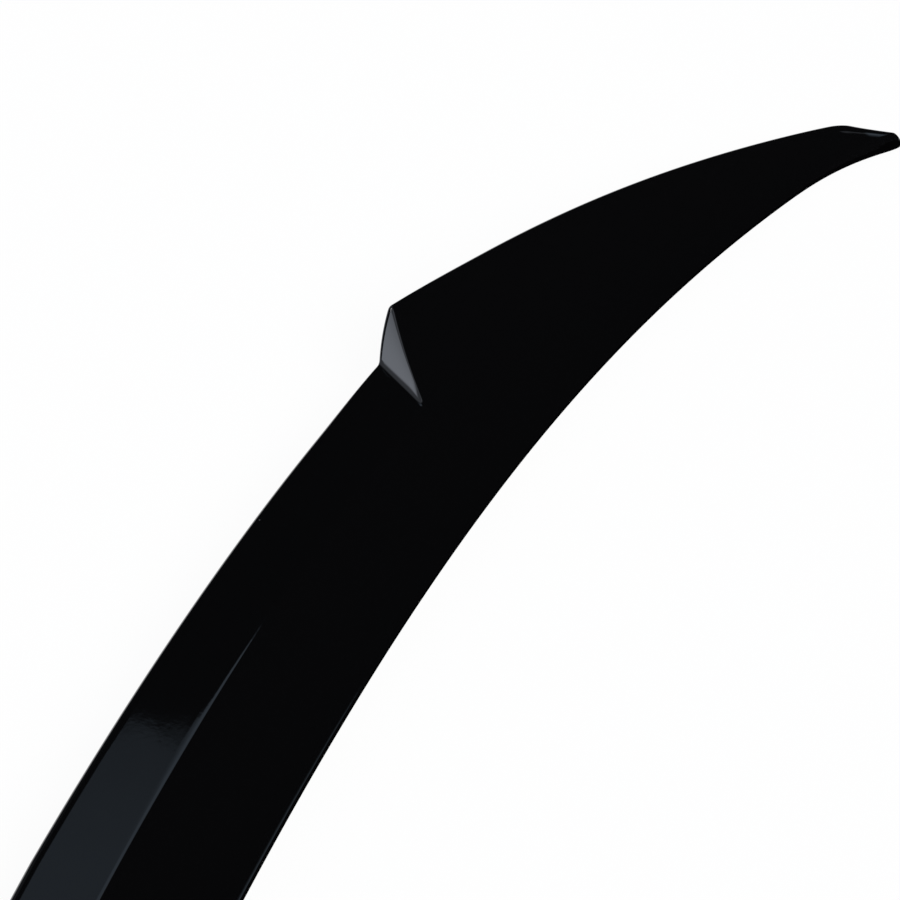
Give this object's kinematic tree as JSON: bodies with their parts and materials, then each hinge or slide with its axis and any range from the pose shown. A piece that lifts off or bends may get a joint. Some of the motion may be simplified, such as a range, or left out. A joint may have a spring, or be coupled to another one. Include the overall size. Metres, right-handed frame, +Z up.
{
  "type": "car rear spoiler",
  "caption": "Low boot-lid lip spoiler in gloss black, with a creased centre, a step up to a raised tapering wing on each side, ribs below and foam bonding tape.",
  "frame": {"origin": "middle of the outline, on the level surface that the spoiler rests on", "axes": "+X along the spoiler towards the right-hand side of the car, +Y towards the front of the car, +Z up"},
  "size_m": [1.248, 0.1946, 0.0507],
  "materials": {
    "gloss_black": "high gloss black paint",
    "foam_tape": "matt foam"
  },
  "bodies": {
    "root": {"spoiler_moulding": "gloss_black", "front_tape_left": "foam_tape", "front_tape_right": "foam_tape", "rear_tape_left": "foam_tape", "rear_tape_right": "foam_tape"}
  },
  "joints": []
}
